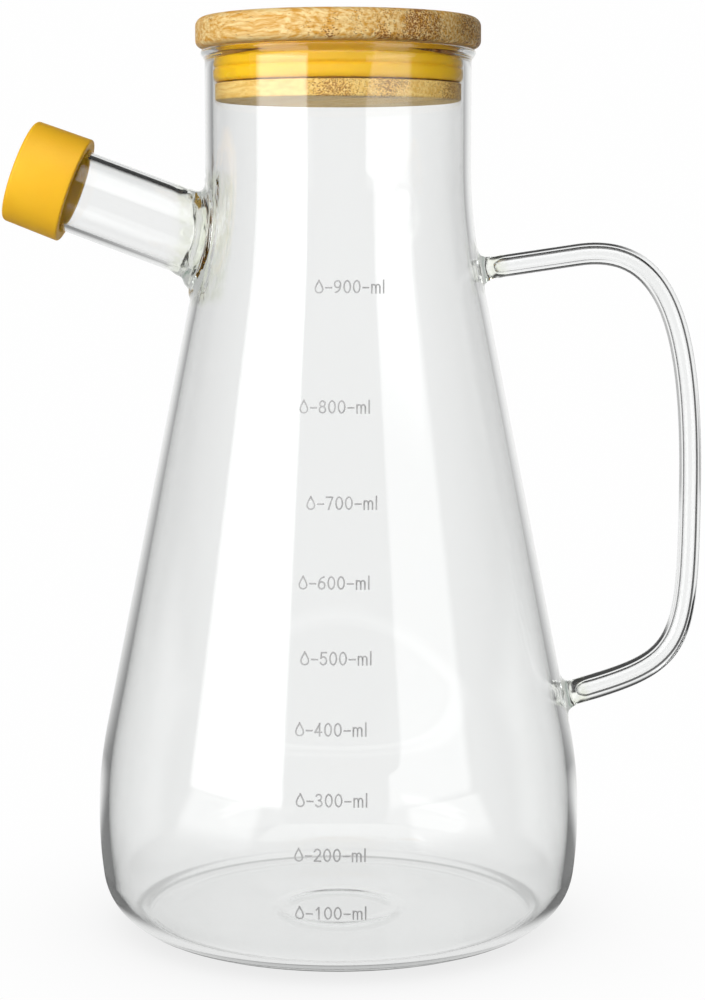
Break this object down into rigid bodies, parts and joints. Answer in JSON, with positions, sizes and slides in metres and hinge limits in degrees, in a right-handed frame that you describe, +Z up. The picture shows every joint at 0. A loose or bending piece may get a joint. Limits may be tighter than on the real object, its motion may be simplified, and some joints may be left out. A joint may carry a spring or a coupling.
{
  "type": "kitchen oil can",
  "caption": "Conical clear glass oil bottle with a welded pouring spout and rod handle, a push-in bamboo lid with a ribbed silicone seal, and a silicone cap on the spout.",
  "frame": {"origin": "middle of the flask's flat foot, on the surface it stands on", "axes": "+Z up along the flask's axis, +X towards the handle, -X towards the spout"},
  "size_m": [0.1565, 0.109, 0.2033],
  "materials": {
    "clear_glass": "clear, fire-polished",
    "weld_glass": "clear, lumpy, slightly green where it was remelted",
    "bamboo": "fine sanded, oiled",
    "seal_silicone": "satin, moulded",
    "cap_silicone": "matt, moulded"
  },
  "bodies": {
    "flask": {"flask_body": "clear_glass", "spout_tube": "clear_glass", "spout_weld": "weld_glass", "handle_rod": "clear_glass", "handle_upper_weld": "weld_glass", "handle_lower_weld": "weld_glass"},
    "seal": {"seal_ring": "seal_silicone"},
    "lid": {"lid_disc": "bamboo", "lid_plug": "bamboo"},
    "cap": {"spout_cap": "cap_silicone"}
  },
  "joints": [
    {"name": "lid_lift", "type": "slide", "parent": "flask", "child": "seal", "axis": [0, 0, 1], "range_m": [0, 0.05]},
    {"name": "lid_turn", "type": "hinge", "parent": "seal", "child": "lid", "pos_m": [0, 0, 0.1965], "axis": [0, 0, 1], "continuous": true},
    {"name": "cap_pull", "type": "slide", "parent": "flask", "child": "cap", "axis": [-0.9373, 0, 0.3486], "range_m": [0, 0.03]}
  ]
}
